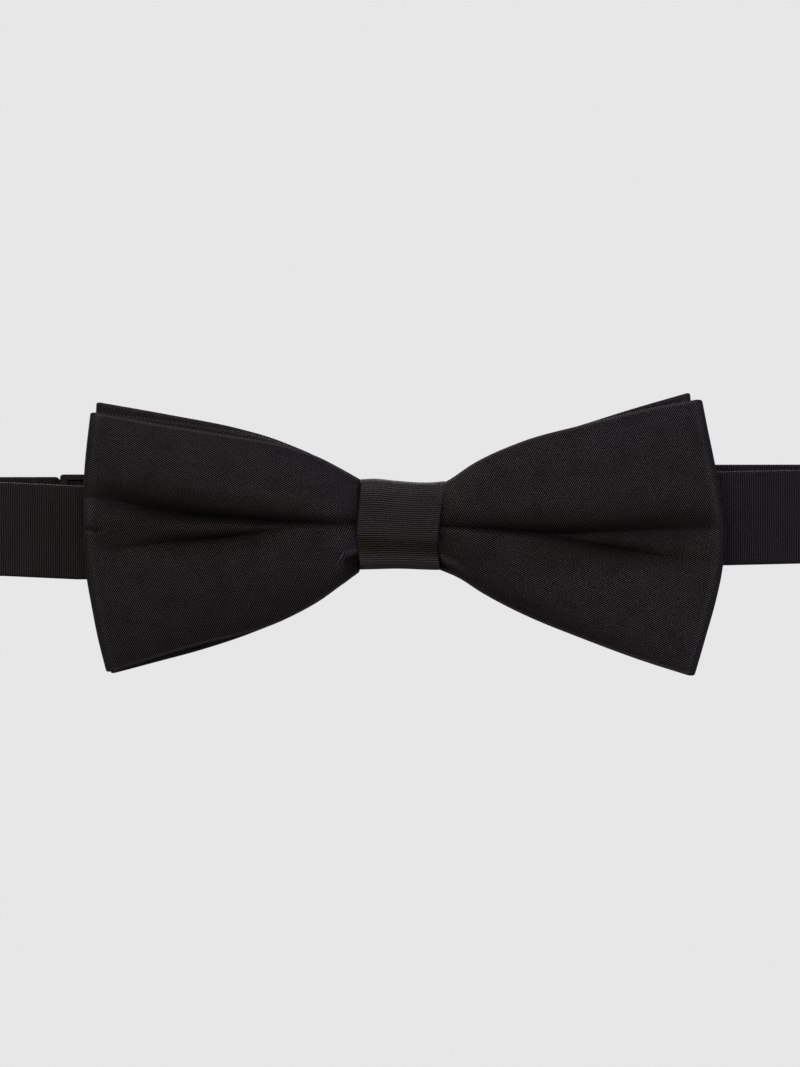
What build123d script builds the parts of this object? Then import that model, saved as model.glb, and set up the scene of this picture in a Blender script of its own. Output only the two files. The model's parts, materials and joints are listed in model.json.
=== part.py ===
"""Pre-tied dress bow tie with an adjustable neck band, pressed flat with its clasp done up.

Frame: +Z is up the wearer's neck, -Y is the way the bow faces, +X is the bow's right as it is looked at.
The origin is level with the knot's centre, on the plane of the hook plate's rear face.
The band is a closed loop in plan: front ply, side fold, back ply, clasp. Every band hinge is vertical.
Lengths are millimetres and angles are degrees.
"""

import os
from build123d import *

# ---- band: hinge lines, counted outward from the bow's centre --------------------------------------
HINGE_INNER = 8.6
HINGE_MIDDLE = 72.6
HINGE_FOLD = 100.6
TAIL_SWING_X = -66.6

# ---- band: plies --------------------------------------------------------------------------------
BAND_WIDTH = 17.4
NARROW_WIDTH = 13.0
SLIDER_PLY_WIDTH = 16.4
BAND_THICK = 1.0
TAIL_THICK = 0.7
JOINT_GAP = 0.15
FRONT_Y = -9.4
BACK_Y = -3.55
# each strap as seen from the front: (x, height of its centre line, width), narrow where it passes the knot
FRONT_STATIONS = [
    (-112.0, -0.4, BAND_WIDTH),
    (-60.0, -1.35, BAND_WIDTH),
    (-26.0, -0.5, BAND_WIDTH),
    (-HINGE_INNER, 0.0, NARROW_WIDTH),
    (HINGE_INNER, 0.0, NARROW_WIDTH),
    (26.0, 0.5, BAND_WIDTH),
    (60.0, 1.15, BAND_WIDTH),
    (112.0, 2.4, BAND_WIDTH),
]
BACK_STATIONS = [
    (-112.0, 0.0, BAND_WIDTH),
    (-64.9, 0.1, BAND_WIDTH),
    (-64.1, 0.0, SLIDER_PLY_WIDTH),
    (-14.0, -0.3, NARROW_WIDTH),
    (14.0, -0.3, NARROW_WIDTH),
    (58.0, 2.4, BAND_WIDTH),
    (112.0, 2.5, BAND_WIDTH),
]

# ---- left tail with its adjuster, right tail ----------------------------------------------------
LEFT_TAIL_Y = -2.75
LEFT_RETURN_Y = -0.45
RIGHT_TAIL_Y = -4.2
RIGHT_RETURN_Y = -6.1
RIGHT_RETURN_LENGTH = 13.0
HOOK_LOOP_LENGTH = 5.0
# a tail leaves its hinge in the plane of the back ply and eases over to its own plane
JOG_BEND_RADIUS = 1.0
LEFT_JOG = (0.8, 2.6)
RIGHT_JOG = (4.0, 7.0)
RIGHT_LEAD_END = HINGE_INNER + 20.0

# ---- hardware -----------------------------------------------------------------------------------
HOOK_BAR_Y = (LEFT_TAIL_Y + LEFT_RETURN_Y) / 2
HOOK_BAR_DIAMETER = 1.2
CLASP_Z = -0.3
HOOK_HEIGHT = 15.4
HOOK_ARM = 1.0
HOOK_PLATE_THICK = 0.9
HOOK_PLATE_LEFT = -5.8
HOOK_PLATE_RIGHT = 1.2
HOOK_LIP_WIDTH = 7.0
HOOK_LIP_RADIUS = 1.2
HOOK_LIP_ROOT = 2.0
HOOK_LIP_LENGTH = 3.4
HOOK_PLATE_CORNER = 1.5
HOOK_ARM_CORNER = 0.35
HOOK_ARM_PAST_BAR = 0.4
HOOK_ARM_ON_PLATE = 0.8
EYE_BAR_Y = (RIGHT_TAIL_Y + RIGHT_RETURN_Y) / 2
EYE_WIRE = 1.0
EYE_HEIGHT = 14.4
EYE_CORNER = 0.75
SLIDER_X = -58.0
SLIDER_Z = -0.05
SLIDER_LENGTH = 12.0
SLIDER_HEIGHT = 18.8
SLIDER_RIM = 1.4
SLIDER_WALL = 0.95
SLIDER_SHEET = 0.6
SLIDER_BAR = 1.6
SLIDER_BAR_Y = -1.2
SLIDER_FRONT_Y = -3.9
SLIDER_CORNER = 0.6
# the strap's two legs round the centre bar, counted from the slider's middle
SLIDER_LONG_LEG = 5.4
SLIDER_SHORT_LEG = 3.6
SLIDER_TACK = 3.4
SLIDER_TACK_DEPTH = 2.1
EYE_TACK_X = HINGE_INNER + 9.0
EYE_TACK_DEPTH = 2.6

# ---- bow: the two loops of folded cloth and the wrapped knot ------------------------------------
PANEL_THICK = 1.3
INTERLINING_THICK = 0.5
INTERLINING_SLOT = 0.6
SEAM_MARGIN = 1.6
PANEL_PITCH = 1.45
REAR_LOOP_INNER_Y = -10.75
REAR_LOOP_BACK_Y = -10.85
REAR_BULGE_Y = -12.5
REAR_TIP_Y = -12.75
REAR_TIPS = (-56.0, 56.0)
FRONT_LOOP_INNER_Y = REAR_LOOP_INNER_Y - 2 * PANEL_PITCH
FRONT_LOOP_BACK_Y = -14.2
FRONT_BULGE_Y = -19.7
FRONT_TIP_Y = -17.4
FRONT_TIPS = (-57.9, 60.3)
LOOP_CORNER = 0.9
LOOP_BACK_GAP = 0.9
LOOP_SWELL_X = 28.0
LOOP_LEAVES_KNOT = 1.0
LOOP_OPENS_OVER = 6.0
GATHER_HALF = 6.3
GATHER_REACH = 7.9
KNOT_LEFT = -7.85
KNOT_RIGHT = 7.65
KNOT_FRONT_Y = -17.7
KNOT_BACK_Y = -6.95
KNOT_HALF = 8.4
KNOT_CORNER = 2.0
KNOT_THICK = 0.8
THREAD = 0.5
THREAD_TURNS_X = (-3.3, -1.1, 1.1, 3.3)
SEAM_STITCHES = 7
SEAM_STITCH_PITCH = 1.8
SEAM_STITCH_LENGTH = 2.2
SEAM_STITCH_SLANT = 62
ANCHOR_X = (-5.4, 5.4)
ANCHOR_Z = (-3.0, 0.0, 3.0)
ANCHOR_Y = -10.15
ANCHOR_LENGTH = 2.6
TACK_COLUMNS = (-0.7, 0.7)
TACK_ROWS = 7
TACK_PITCH = 1.6
CLEARANCE = 0.05

SIDES = {"left": -1, "right": 1}
# half length of cutting blocks that pass right through the tie
DEEP = 60.0
SMALLEST_CORNER = 0.3


def ply(path, thick, low=-DEEP, high=DEEP):
    """Strip of cloth of one thickness that stands on a path in plan, with round ends."""
    outline = offset(path, amount=thick / 2, side=Side.BOTH, kind=Kind.ARC)
    return extrude(Pos(0, 0, low) * make_face(outline.edges()), amount=high - low)


def strap_window(stations):
    """Block that trims plies to a strap's edges, given as its centre height and width at each x."""
    upper = [(x, centre + width / 2) for x, centre, width in stations]
    lower = [(x, centre - width / 2) for x, centre, width in reversed(stations)]
    return extrude(Plane.XZ * Polygon(*upper, *lower, align=None), amount=DEEP, both=True)


def strap(path, thick, window):
    return ply(path, thick) & window


def tube_x(height, y_low, y_high, x_low, x_high, wall, corner):
    """Ring of cloth round the X axis: a rounded rectangle in YZ with an even wall."""
    depth = y_high - y_low
    outer = RectangleRounded(depth, height, corner)
    inner_corner = max(corner - wall, SMALLEST_CORNER)
    inner = RectangleRounded(depth - 2 * wall, height - 2 * wall, inner_corner)
    ring = extrude(Plane.YZ * (outer - inner), amount=x_high - x_low)
    return Pos(x_low, (y_low + y_high) / 2, 0) * ring


# ---- bow loops ----------------------------------------------------------------------------------
def shrunk_wing(wing, margin):
    """The wing's three edges drawn in by a margin, with its two tip corners kept as shared points."""
    top, side, bottom = wing
    inward = -margin if side[1][0] > 0 else margin
    upper = (side[0][0] + inward, side[0][1] - margin)
    lower = (side[-1][0] + inward, side[-1][1] + margin)
    new_top = [(x, z - margin) for x, z in top[:-1]] + [upper]
    new_side = [upper] + [(x + inward, z) for x, z in side[1:-1]] + [lower]
    new_bottom = [lower] + [(x, z + margin) for x, z in bottom[1:]]
    return new_top, new_side, new_bottom


def wing_face(wing):
    """Front view of one wing: a smooth top, side and bottom edge, closed at the knot."""
    edges = [Spline(*points) for points in wing]
    return make_face([*edges, Line(edges[2] @ 1, edges[0] @ 0)])


def bow_outline(wings, margin=0.0):
    """Block in Y whose front view is a bow loop: two wings and the gathered strip between them."""
    outline = Rectangle(2 * (GATHER_REACH + 4 * CLEARANCE), 2 * (GATHER_HALF - margin))
    for wing in wings:
        outline += wing_face(shrunk_wing(wing, margin))
    return extrude(Plane.XZ * outline, amount=DEEP, both=True)


def loop_path(inner_back_y, back_y, bulge_y, tip_y, tips):
    """Plan path of one loop: it starts and ends at the middle of its back panel."""
    left_tip, right_tip = tips
    inner_front_y = inner_back_y - PANEL_PITCH
    reach = GATHER_REACH + LOOP_LEAVES_KNOT
    spread = reach + LOOP_OPENS_OVER
    return FilletPolyline(
        (LOOP_BACK_GAP, inner_back_y),
        (reach, inner_back_y),
        (spread, back_y),
        (right_tip, back_y),
        (right_tip, tip_y),
        (LOOP_SWELL_X, bulge_y),
        (reach, inner_front_y),
        (-reach, inner_front_y),
        (-LOOP_SWELL_X, bulge_y),
        (left_tip, tip_y),
        (left_tip, back_y),
        (-spread, back_y),
        (-reach, inner_back_y),
        (-LOOP_BACK_GAP, inner_back_y),
        radius=LOOP_CORNER,
    )


FRONT_LEFT_WING = (
    [(-7.9, 8.2), (-20.7, 14.2), (-38.0, 17.3), (-57.3, 20.8)],
    [(-57.3, 20.8), (-58.6, 0.0), (-54.4, -27.4)],
    [(-54.4, -27.4), (-38.7, -22.8), (-21.6, -17.6), (-7.9, -8.6)],
)
FRONT_RIGHT_WING = (
    [(7.9, 7.6), (18.2, 13.4), (34.9, 18.4), (56.2, 23.0)],
    [(56.2, 23.0), (61.0, -2.0), (54.8, -28.1)],
    [(54.8, -28.1), (34.9, -21.5), (16.9, -13.3), (7.9, -8.6)],
)
REAR_LEFT_WING = (
    [(-7.9, 7.8), (-23.4, 16.0), (-42.8, 20.3), (-56.0, 22.6)],
    [(-56.0, 22.6), (-56.6, 0.0), (-53.6, -27.8)],
    [(-53.6, -27.8), (-37.8, -23.5), (-22.0, -17.9), (-7.9, -8.2)],
)
REAR_RIGHT_WING = (
    [(7.9, 7.2), (22.0, 14.6), (38.5, 19.9), (53.7, 24.1)],
    [(53.7, 24.1), (56.6, 0.0), (52.6, -26.6)],
    [(52.6, -26.6), (34.0, -20.6), (17.0, -12.9), (7.9, -8.2)],
)


def bow_loop(wings, path):
    """One loop of the bow: a cloth sleeve, and inside it an interlining that stops short of the edges.

    The slot for the interlining stops short of the side folds too, so the interlining is three panels:
    one across the front and one on each half of the back.
    """
    sleeve = ply(path, PANEL_THICK) & bow_outline(wings)
    slot = ply(path, INTERLINING_SLOT) & bow_outline(wings, SEAM_MARGIN)
    ease = (INTERLINING_SLOT - INTERLINING_THICK) / 2
    interlining = ply(path, INTERLINING_THICK) & bow_outline(wings, SEAM_MARGIN + ease)
    return sleeve - slot, interlining


# ---- knot ---------------------------------------------------------------------------------------
def knot_ring(step, thick, x_margin):
    """Layer of the knot, `step` inside its outer surface."""
    return tube_x(
        2 * (KNOT_HALF - step),
        KNOT_FRONT_Y + step,
        KNOT_BACK_Y - step,
        KNOT_LEFT + x_margin,
        KNOT_RIGHT - x_margin,
        thick,
        KNOT_CORNER - step,
    )


def gathering_thread():
    """Four turns of thread that draw the loops together under the knot."""
    turns = []
    step = KNOT_THICK + INTERLINING_THICK + 2 * CLEARANCE
    for x in THREAD_TURNS_X:
        turns.append(
            tube_x(
                2 * (KNOT_HALF - step),
                KNOT_FRONT_Y + step,
                KNOT_BACK_Y - step,
                x - THREAD / 2,
                x + THREAD / 2,
                THREAD,
                KNOT_CORNER - step,
            )
        )
    return turns


def knot_seam_stitches():
    """Slanted hand stitches that close the wrap at the middle of its back."""
    stitches = []
    for row in range(SEAM_STITCHES):
        z = SEAM_STITCH_PITCH * (row - (SEAM_STITCHES - 1) / 2)
        bar = Rot(0, SEAM_STITCH_SLANT, 0) * Cylinder(THREAD / 2, SEAM_STITCH_LENGTH)
        stitches.append(Pos(0, KNOT_BACK_Y - CLEARANCE, z) * bar)
    return stitches


def band_anchor_stitches():
    """Thread bars that tack the band to the rear loop inside the knot."""
    bars = []
    for x in ANCHOR_X:
        for z in ANCHOR_Z:
            bars.append(Pos(x, ANCHOR_Y, z) * Rot(90, 0, 0) * Cylinder(THREAD / 2, ANCHOR_LENGTH))
    return bars


# ---- band ---------------------------------------------------------------------------------------
def straight(x_from, x_to, y):
    return Line((x_from, y), (x_to, y))


def fold_bend(side, window):
    """Half turn of cloth where the band doubles back at its side."""
    middle = (FRONT_Y + BACK_Y) / 2
    radius = (BACK_Y - FRONT_Y) / 2
    outer = radius + BAND_THICK / 2
    ring = Circle(outer) - Circle(radius - BAND_THICK / 2)
    outer_half = Pos(side * outer, 0) * Rectangle(2 * (outer - CLEARANCE), 4 * outer)
    bend = extrude(Pos(0, 0, -DEEP) * (ring & outer_half), amount=2 * DEEP)
    return (Pos(side * HINGE_FOLD, middle, 0) * bend) & window


def short_of(x, side, thick):
    """End of a parent ply's path that leaves room for the round nose on a hinge line at x."""
    return x - side * (thick + JOINT_GAP)


def band_nodes():
    """Front, side and back plies of both halves, and the strip that runs through the knot."""
    front = strap_window(FRONT_STATIONS)
    back = strap_window(BACK_STATIONS)
    middle_stations = [
        (x, (centre + other) / 2, BAND_WIDTH)
        for (x, centre, _), (_, other, _) in (
            (FRONT_STATIONS[0], BACK_STATIONS[0]),
            (FRONT_STATIONS[-1], BACK_STATIONS[-1]),
        )
    ]
    fold = strap_window(middle_stations)
    gathered = strap_window([(-HINGE_INNER, 0.0, 2 * GATHER_HALF), (HINGE_INNER, 0.0, 2 * GATHER_HALF)])
    end = HINGE_INNER - BAND_THICK - JOINT_GAP
    nodes = {"band_centre": strap(straight(-end, end, FRONT_Y), BAND_THICK, gathered)}
    for name, side in SIDES.items():
        inner = side * HINGE_INNER
        middle = side * HINGE_MIDDLE
        tip = side * (HINGE_FOLD - BAND_THICK / 2 - CLEARANCE)
        near_middle = short_of(middle, side, BAND_THICK)
        past_middle = short_of(middle, -side, BAND_THICK)
        nodes[f"{name}_front_band"] = strap(straight(inner, near_middle, FRONT_Y), BAND_THICK, front)
        nodes[f"{name}_side_band"] = strap(straight(middle, tip, FRONT_Y), BAND_THICK, front)
        nodes[f"{name}_fold_bend"] = fold_bend(side, fold)
        nodes[f"{name}_back_band"] = strap(straight(tip, past_middle, BACK_Y), BAND_THICK, back)
    return nodes


def loop_round_bar(far_x, bar_x, outward_y, return_y, return_x):
    """Path of a ply that reaches a bar, turns round it and comes back."""
    mean_y = (outward_y + return_y) / 2
    radius = abs(outward_y - return_y) / 2
    side = 1 if bar_x > far_x else -1
    return Wire(
        [
            Line((far_x, outward_y), (bar_x, outward_y)),
            ThreePointArc((bar_x, outward_y), (bar_x + side * radius, mean_y), (bar_x, return_y)),
            Line((bar_x, return_y), (return_x, return_y)),
        ]
    )


def left_tail_nodes():
    """Left tail: root, tail, loop round the hook's bar, doubled ply and loop round the slider's bar."""
    window = strap_window(BACK_STATIONS)
    root_end = short_of(TAIL_SWING_X, 1, BAND_THICK)
    root = straight(-HINGE_MIDDLE, root_end, BACK_Y)
    loop_start = -HINGE_INNER - HOOK_LOOP_LENGTH
    tail_end = loop_start - TAIL_THICK - JOINT_GAP
    tail = FilletPolyline(
        (TAIL_SWING_X, BACK_Y),
        (TAIL_SWING_X + LEFT_JOG[0], BACK_Y),
        (TAIL_SWING_X + LEFT_JOG[1], LEFT_TAIL_Y),
        (tail_end, LEFT_TAIL_Y),
        radius=JOG_BEND_RADIUS,
    )
    hook_loop = loop_round_bar(loop_start, -HINGE_INNER, LEFT_TAIL_Y, LEFT_RETURN_Y, loop_start)
    slider_leg = SLIDER_X + SLIDER_LONG_LEG
    slider_loop = slider_loop_path(slider_leg)
    return_ply = straight(tail_end, slider_leg + TAIL_THICK + JOINT_GAP, LEFT_RETURN_Y)
    return {
        "left_tail_root": strap(root, BAND_THICK, window),
        "left_tail": strap(tail, TAIL_THICK, window),
        "hook_loop": strap(hook_loop, TAIL_THICK, window),
        "adjuster_return": strap(return_ply, TAIL_THICK, window),
        "slider_loop": strap(slider_loop, TAIL_THICK, window),
        "slider_bar_tack": bar_tack(SLIDER_X + SLIDER_TACK, SLIDER_BAR_Y, SLIDER_TACK_DEPTH),
    }


def slider_loop_path(leg_end):
    """The strap's end, turned round the slider's centre bar."""
    front_leg_y = 2 * SLIDER_BAR_Y - LEFT_RETURN_Y
    turn_x = SLIDER_X - SLIDER_BAR / 2 + CLEARANCE
    return loop_round_bar(leg_end, turn_x, LEFT_RETURN_Y, front_leg_y, SLIDER_X + SLIDER_SHORT_LEG)


def right_tail_node():
    """Right tail: it turns round the eye's bar and is sewn down on itself."""
    window = strap_window(BACK_STATIONS)
    lead = FilletPolyline(
        (HINGE_MIDDLE, BACK_Y),
        (HINGE_MIDDLE - RIGHT_JOG[0], BACK_Y),
        (HINGE_MIDDLE - RIGHT_JOG[1], RIGHT_TAIL_Y),
        (RIGHT_LEAD_END, RIGHT_TAIL_Y),
        radius=JOG_BEND_RADIUS,
    )
    end = loop_round_bar(
        RIGHT_LEAD_END, HINGE_INNER, RIGHT_TAIL_Y, RIGHT_RETURN_Y, HINGE_INNER + RIGHT_RETURN_LENGTH
    )
    path = Wire([*lead.edges(), *end.edges()])
    return strap(path, TAIL_THICK, window)


def bar_tack(x, y, depth):
    """Dense bar of zigzag stitches across a strap, as separate threads."""
    threads = []
    for column in TACK_COLUMNS:
        for row in range(TACK_ROWS):
            z = CLASP_Z + TACK_PITCH * (row - (TACK_ROWS - 1) / 2)
            threads.append(Pos(x + column, y, z) * Rot(90, 0, 0) * Cylinder(THREAD / 2, depth))
    return threads


# ---- hardware -----------------------------------------------------------------------------------
def slider():
    """Formed tri-glide: the strap runs behind its end rims and in front of its centre bar."""
    rear_y = SLIDER_BAR_Y + SLIDER_SHEET / 2
    depth = rear_y - SLIDER_FRONT_Y
    middle_y = (rear_y + SLIDER_FRONT_Y) / 2
    face = Plane.XZ * RectangleRounded(SLIDER_LENGTH, SLIDER_HEIGHT, SLIDER_CORNER)
    block = extrude(face, amount=depth / 2, both=True)
    inside = SLIDER_HEIGHT - 2 * SLIDER_WALL
    tunnel = Pos(0, SLIDER_SHEET, 0) * Box(SLIDER_LENGTH + 2, depth, inside)
    window = Box(SLIDER_LENGTH - 2 * SLIDER_RIM, depth * 3, inside)
    bar_middle = SLIDER_BAR_Y - middle_y
    bar = Pos(0, bar_middle, 0) * Box(SLIDER_BAR, SLIDER_SHEET, inside + 0.4)
    body = (block - tunnel - window) + bar
    return Pos(SLIDER_X, middle_y, SLIDER_Z) * body


def hook():
    """Flat hook with a round strap bar carried by two side arms."""
    arm_z = (HOOK_HEIGHT - HOOK_ARM) / 2
    arm_left = -HINGE_INNER - HOOK_BAR_DIAMETER / 2 - HOOK_ARM_PAST_BAR
    arm_length = HOOK_PLATE_LEFT + HOOK_ARM_ON_PLATE - arm_left
    arm_depth = -HOOK_BAR_Y + HOOK_BAR_DIAMETER / 2 + 0.2
    arm_x = arm_left + arm_length / 2
    body = Pos(-HINGE_INNER, HOOK_BAR_Y, 0) * Cylinder(HOOK_BAR_DIAMETER / 2, HOOK_HEIGHT - HOOK_ARM)
    for z in (-arm_z, arm_z):
        arm = Box(arm_length, arm_depth, HOOK_ARM)
        arm = fillet(arm.edges().filter_by(Axis.Z), HOOK_ARM_CORNER)
        body += Pos(arm_x, -arm_depth / 2, z) * arm
    plate_length = HOOK_PLATE_RIGHT - HOOK_PLATE_LEFT
    plate_face = Plane.XZ * RectangleRounded(plate_length, HOOK_HEIGHT, HOOK_PLATE_CORNER)
    plate = extrude(plate_face, amount=HOOK_PLATE_THICK / 2, both=True)
    body += Pos((HOOK_PLATE_LEFT + HOOK_PLATE_RIGHT) / 2, -HOOK_PLATE_THICK / 2, 0) * plate
    return Pos(0, 0, CLASP_Z) * (body + hook_lip())


def hook_lip():
    """Tongue that leaves the plate's free edge and turns back over the front."""
    plate_y = -HOOK_PLATE_THICK / 2
    front_y = plate_y - 2 * HOOK_LIP_RADIUS
    path = Wire(
        [
            Line((HOOK_PLATE_RIGHT - HOOK_LIP_ROOT, plate_y), (HOOK_PLATE_RIGHT, plate_y)),
            ThreePointArc(
                (HOOK_PLATE_RIGHT, plate_y),
                (HOOK_PLATE_RIGHT + HOOK_LIP_RADIUS, plate_y - HOOK_LIP_RADIUS),
                (HOOK_PLATE_RIGHT, front_y),
            ),
            Line((HOOK_PLATE_RIGHT, front_y), (HOOK_PLATE_RIGHT - HOOK_LIP_LENGTH, front_y)),
        ]
    )
    half = HOOK_LIP_WIDTH / 2
    return ply(path, HOOK_PLATE_THICK, -half, half)


def eye():
    """Closed wire eye: the strap bar is its right side and the catch bar its left side."""
    path = RectangleRounded(HINGE_INNER, EYE_HEIGHT, EYE_CORNER).wire()
    start = Plane(path @ 0.03, z_dir=path % 0.03)
    ring = sweep(start * Circle(EYE_WIRE / 2), path=path)
    return Pos(HINGE_INNER / 2, EYE_BAR_Y, CLASP_Z) * Rot(90, 0, 0) * ring


# ---- the whole tie ------------------------------------------------------------------------------
def build():
    front_path = loop_path(FRONT_LOOP_INNER_Y, FRONT_LOOP_BACK_Y, FRONT_BULGE_Y, FRONT_TIP_Y, FRONT_TIPS)
    rear_path = loop_path(REAR_LOOP_INNER_Y, REAR_LOOP_BACK_Y, REAR_BULGE_Y, REAR_TIP_Y, REAR_TIPS)
    front_cover, front_core = bow_loop((FRONT_LEFT_WING, FRONT_RIGHT_WING), front_path)
    rear_cover, rear_core = bow_loop((REAR_LEFT_WING, REAR_RIGHT_WING), rear_path)
    nodes = {
        "front_bow_cover": front_cover,
        "front_bow_interlining": front_core,
        "rear_bow_cover": rear_cover,
        "rear_bow_interlining": rear_core,
        "knot_wrap": knot_ring(0.0, KNOT_THICK, 0.0),
        "knot_interlining": knot_ring(KNOT_THICK + CLEARANCE, INTERLINING_THICK, 0.6),
        "gathering_thread": gathering_thread(),
        "knot_seam_stitches": knot_seam_stitches(),
        "band_anchor_stitches": band_anchor_stitches(),
    }
    nodes.update(band_nodes())
    nodes.update(left_tail_nodes())
    nodes["right_tail"] = right_tail_node()
    nodes["eye_bar_tack"] = bar_tack(EYE_TACK_X, EYE_BAR_Y, EYE_TACK_DEPTH)
    nodes["slider"] = slider()
    nodes["hook"] = hook()
    nodes["eye"] = eye()
    return nodes


def as_shape(node):
    """One shape to export: a single piece, or a group of separate ones."""
    if isinstance(node, list):
        return Compound(children=node)
    return node


os.makedirs("parts", exist_ok=True)
for node_name, node_shape in build().items():
    export_step(as_shape(node_shape), f"parts/{node_name}.step")
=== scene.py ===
import json
import math

import bpy
import numpy as np
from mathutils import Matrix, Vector


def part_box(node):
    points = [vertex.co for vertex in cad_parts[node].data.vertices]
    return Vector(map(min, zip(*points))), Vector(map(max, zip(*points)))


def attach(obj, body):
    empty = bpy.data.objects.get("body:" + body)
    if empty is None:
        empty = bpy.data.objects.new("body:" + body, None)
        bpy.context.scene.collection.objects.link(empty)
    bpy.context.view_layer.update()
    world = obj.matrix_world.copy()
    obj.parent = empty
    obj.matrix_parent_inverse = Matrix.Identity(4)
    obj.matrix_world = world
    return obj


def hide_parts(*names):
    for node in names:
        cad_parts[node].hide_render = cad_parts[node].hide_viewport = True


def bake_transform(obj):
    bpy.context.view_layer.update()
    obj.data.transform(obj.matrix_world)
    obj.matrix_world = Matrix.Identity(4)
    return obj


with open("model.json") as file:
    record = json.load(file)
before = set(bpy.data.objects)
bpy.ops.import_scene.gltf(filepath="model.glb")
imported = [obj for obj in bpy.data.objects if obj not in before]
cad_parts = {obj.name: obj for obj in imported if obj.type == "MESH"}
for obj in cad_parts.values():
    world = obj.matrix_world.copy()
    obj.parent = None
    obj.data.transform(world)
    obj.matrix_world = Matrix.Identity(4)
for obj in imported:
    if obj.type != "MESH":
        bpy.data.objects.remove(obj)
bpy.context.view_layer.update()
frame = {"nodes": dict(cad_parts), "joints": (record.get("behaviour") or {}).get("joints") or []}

# Lengths in this script are millimetres until a mesh is made. -Y is the way the bow faces.
MM = 0.001
# From one raised line of the weave to the next.
BAND_PITCH = 0.42
TWILL_PITCH = 0.34
KNOT_PITCH = 0.385
BOW_THICK = 1.1
KNOT_THICK = 0.9
BAND_THICK = 1.0
TAIL_THICK = 0.7
RIGHT_TAIL_THICK = 0.8


# ---- reading the frame ----
def box_mm(node):
    low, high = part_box(node)
    return np.array(low) / MM, np.array(high) / MM


def mid_y(node):
    low, high = box_mm(node)
    return (low[1] + high[1]) / 2


def joint_mm(name):
    joint = next(j for j in frame["joints"] if j["name"] == name)
    return np.array(joint["pos_m"]) / MM


KNOT_LOW, KNOT_HIGH = box_mm("knot_wrap")
FRONT_Y = mid_y("left_front_band")
BACK_Y = mid_y("left_back_band")
HINGE_INNER = joint_mm("right_front_bend")[0]
HINGE_MIDDLE = joint_mm("right_side_bend")[0]
HINGE_FOLD = joint_mm("right_fold_open")[0]
SWING_X = joint_mm("left_tail_swing")[0]
EYE_BAR_Y = joint_mm("eye_turn")[1]
LEFT_TAIL_Y = box_mm("hook_loop")[0][1] + TAIL_THICK / 2
LEFT_RETURN_Y = box_mm("hook_loop")[1][1] - TAIL_THICK / 2
RIGHT_RETURN_Y = box_mm("right_tail")[0][1] + TAIL_THICK / 2
RIGHT_TAIL_Y = 2 * EYE_BAR_Y - RIGHT_RETURN_Y
SLIDER_LOW, SLIDER_HIGH = box_mm("slider")
SLIDER_X = (SLIDER_LOW[0] + SLIDER_HIGH[0]) / 2


# ---- curves and meshes ----
def ease(t):
    """Smooth step from 0 to 1."""
    return t * t * (3 - 2 * t)


def bell(distance, reach):
    return np.exp(-((distance / reach) ** 2))


def smooth(points):
    """Smooth function through (x, y) points, straight beyond its ends."""
    table = np.array(sorted(points), float)
    xs, ys = table[:, 0], table[:, 1]
    straight = np.full(2, (ys[1] - ys[0]) / (xs[1] - xs[0]))
    slopes = np.gradient(ys, xs) if len(xs) > 2 else straight

    def value(x):
        x = np.asarray(x, float)
        inside = np.clip(x, xs[0], xs[-1])
        i = np.clip(np.searchsorted(xs, inside) - 1, 0, len(xs) - 2)
        span = xs[i + 1] - xs[i]
        t = (inside - xs[i]) / span
        h00 = (1 + 2 * t) * (1 - t) ** 2
        h10 = t * (1 - t) ** 2
        h01 = ease(t)
        h11 = t * t * (t - 1)
        y = h00 * ys[i] + h10 * span * slopes[i] + h01 * ys[i + 1] + h11 * span * slopes[i + 1]
        before = np.where(x < xs[0], (x - xs[0]) * slopes[0], 0)
        after = np.where(x > xs[-1], (x - xs[-1]) * slopes[-1], 0)
        return y + before + after

    return value


def level(points):
    """Like smooth, but constant beyond its ends."""
    inner = smooth(points)
    low = min(p[0] for p in points)
    high = max(p[0] for p in points)
    return lambda x: inner(np.clip(x, low, high))


def add_object(name, data):
    made = bpy.data.objects.new(name, data)
    bpy.context.scene.collection.objects.link(made)
    return made


def make_mesh(name, vertices, faces, face_uvs, flat_from, painted_light=None):
    """Mesh object from millimetre vertices; faces from index flat_from on are flat caps.
    The last argument is painted light per vertex: painted highlight above 0, painted shade below 0."""
    mesh = bpy.data.meshes.new(name)
    mesh.from_pydata((np.asarray(vertices) * MM).tolist(), [], faces)
    layer = mesh.uv_layers.new(name="cloth")
    layer.data.foreach_set("uv", np.asarray(face_uvs, np.float32).ravel())
    smooth_flags = np.ones(len(mesh.polygons), bool)
    smooth_flags[flat_from:] = False
    mesh.polygons.foreach_set("use_smooth", smooth_flags)
    if painted_light is None:
        painted_light = np.zeros(len(vertices))
    # Painted light is kept as a mesh attribute, which the cloth shader turns into painted highlight and
    # painted shade.
    painted_attribute = mesh.attributes.new("painted_light", "FLOAT", "POINT")
    painted_attribute.data.foreach_set("value", painted_light.astype(np.float32))
    return add_object(name, mesh)


def grid_normals(mid, closed):
    """Unit normals of a mid-surface grid, which is closed along its first direction or open."""
    if closed:
        along = np.roll(mid, -1, 0) - np.roll(mid, 1, 0)
    else:
        along = np.gradient(mid, axis=0)
    across = np.gradient(mid, axis=1)
    normal = np.cross(along, across)
    return normal / np.maximum(np.linalg.norm(normal, axis=2, keepdims=True), 1e-9)


# Width of a cloth's rounded edge, as a share of its thickness.
EDGE_ROUND = 0.32


def edge_profile(mid, thick):
    """Half thickness at each grid point, rounded off towards both long edges."""
    steps = np.linalg.norm(np.diff(mid, axis=1), axis=2)
    from_low = np.concatenate([np.zeros((len(mid), 1)), np.cumsum(steps, 1)], 1)
    from_high = from_low[:, -1:] - from_low
    distance = np.minimum(from_low, from_high)
    share = np.clip(1 - distance / (thick * EDGE_ROUND), 0, 1)
    return thick / 2 * np.sqrt(np.maximum(1 - share**2, 0))


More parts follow.
